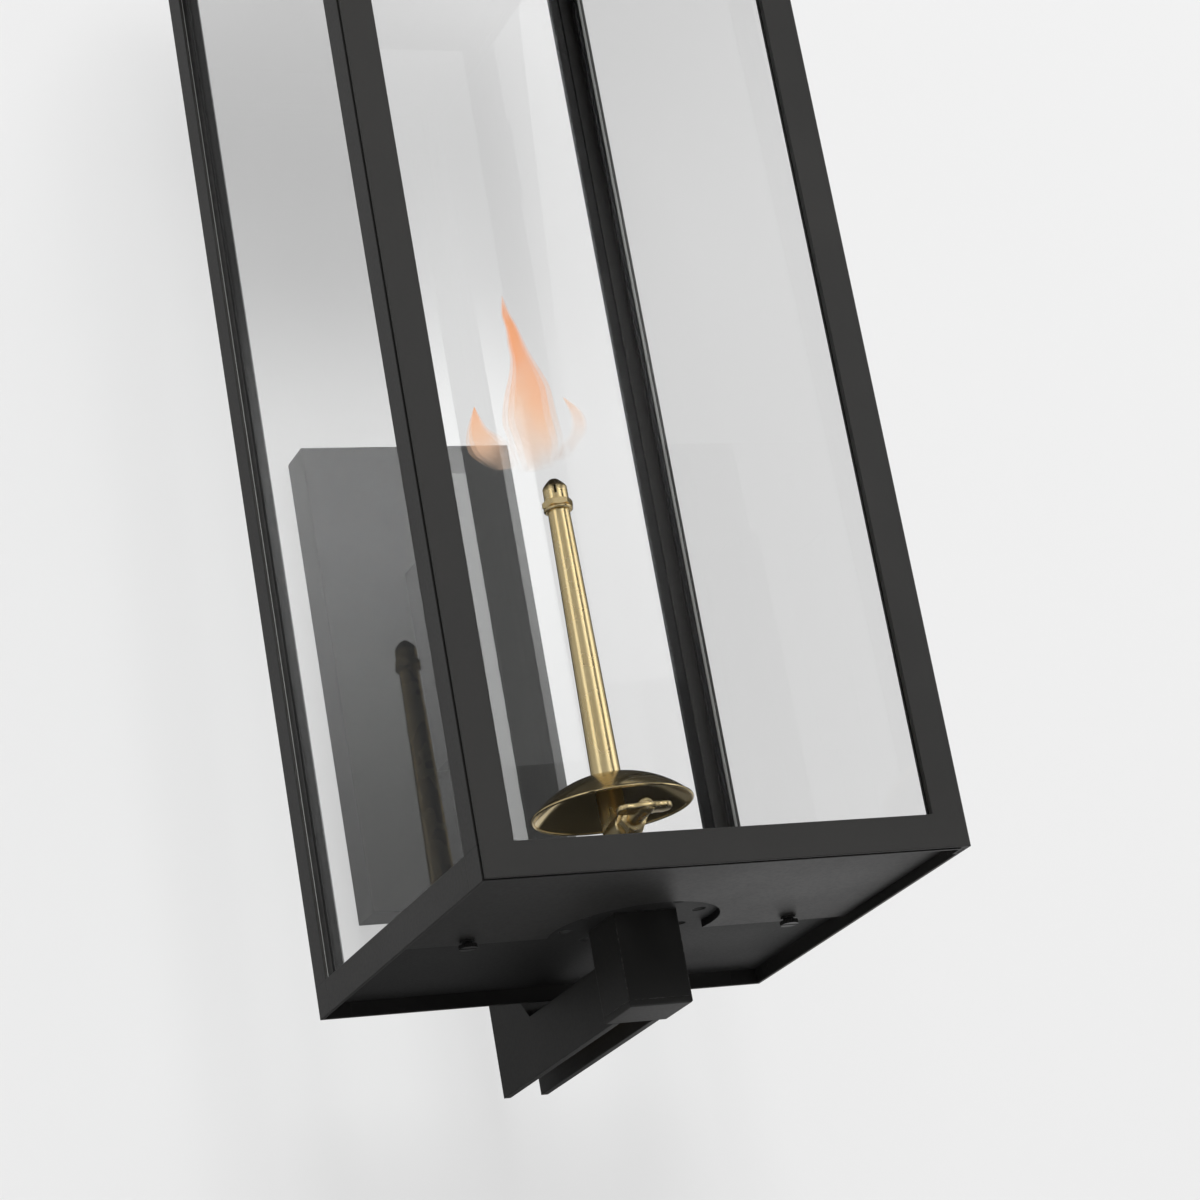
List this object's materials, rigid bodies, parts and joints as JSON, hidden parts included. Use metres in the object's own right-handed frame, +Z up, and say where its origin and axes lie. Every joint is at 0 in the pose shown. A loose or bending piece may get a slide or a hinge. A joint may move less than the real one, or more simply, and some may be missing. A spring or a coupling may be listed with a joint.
{
  "type": "gas wall lantern",
  "caption": "Tall square wall lantern with a glazed metal frame on a bottom bracket, a hinged glass door and a brass gas burner with a wing-key valve.",
  "frame": {"origin": "centre of the wall screw pattern, on the wall plane at the back of the backplate and its strap", "axes": "+X to the right seen from the front, +Y into the wall, +Z up"},
  "size_m": [0.244, 0.3255, 0.7556],
  "materials": {
    "black_metal": "satin",
    "black_hardware": "satin",
    "zinc_steel": "zinc plated",
    "clear_glass": "clear",
    "brass": "lacquered satin",
    "heated_brass": "heat stained"
  },
  "bodies": {
    "lantern": {"access_nuts": "black_hardware", "access_plate": "black_metal", "access_thumb_screws": "black_hardware", "backplate": "black_metal", "bottom_glazing_beads": "black_metal", "bottom_rail_front": "black_metal", "bottom_rail_left": "black_metal", "bottom_rail_rear": "black_metal", "bottom_rail_right": "black_metal", "bracket_channel": "black_metal", "bracket_foot": "black_metal", "burner_collar": "brass", "burner_dish": "brass", "burner_tip": "heated_brass", "burner_tube": "brass", "cap_nuts": "black_hardware", "cap_screws": "black_hardware", "door_magnets": "zinc_steel", "floor_plate": "black_metal", "foot_bolts": "black_hardware", "gas_inlet_fitting": "brass", "gas_supply_tube": "brass", "glass_left": "clear_glass", "glass_rear": "clear_glass", "glass_right": "clear_glass", "hinge_leaves_post": "black_hardware", "hinge_pins": "zinc_steel", "mounting_strap": "zinc_steel", "mounting_studs": "zinc_steel", "packing_nut": "brass", "post_front_left": "black_metal", "post_front_right": "black_metal", "post_rear_left": "black_metal", "post_rear_right": "black_metal", "roof_blocks": "black_metal", "roof_screws": "black_hardware", "roof_shell": "black_metal", "stem_cap": "black_metal", "stem_tube": "black_metal", "top_glazing_beads": "black_metal", "top_plate": "black_metal", "top_rail_front": "black_metal", "top_rail_left": "black_metal", "top_rail_rear": "black_metal", "top_rail_right": "black_metal", "valve_body": "brass", "vent_cap": "black_metal", "vent_collar": "black_metal", "vent_standoffs": "black_metal"},
    "door": {"door_frame": "black_metal", "door_glass": "clear_glass", "door_glass_retainer": "black_metal", "hinge_leaves_door": "black_hardware"},
    "valve_key": {"valve_key": "brass"}
  },
  "joints": [
    {"name": "door_hinge", "type": "hinge", "parent": "lantern", "child": "door", "pos_m": [0.1198, -0.3108, 0.114], "axis": [0, 0, 1], "range_deg": [0, 180]},
    {"name": "valve_turn", "type": "hinge", "parent": "lantern", "child": "valve_key", "pos_m": [-0.00238, -0.22537, -0.148], "axis": [0.108, 0.9942, 0], "range_deg": [0, 90]}
  ]
}
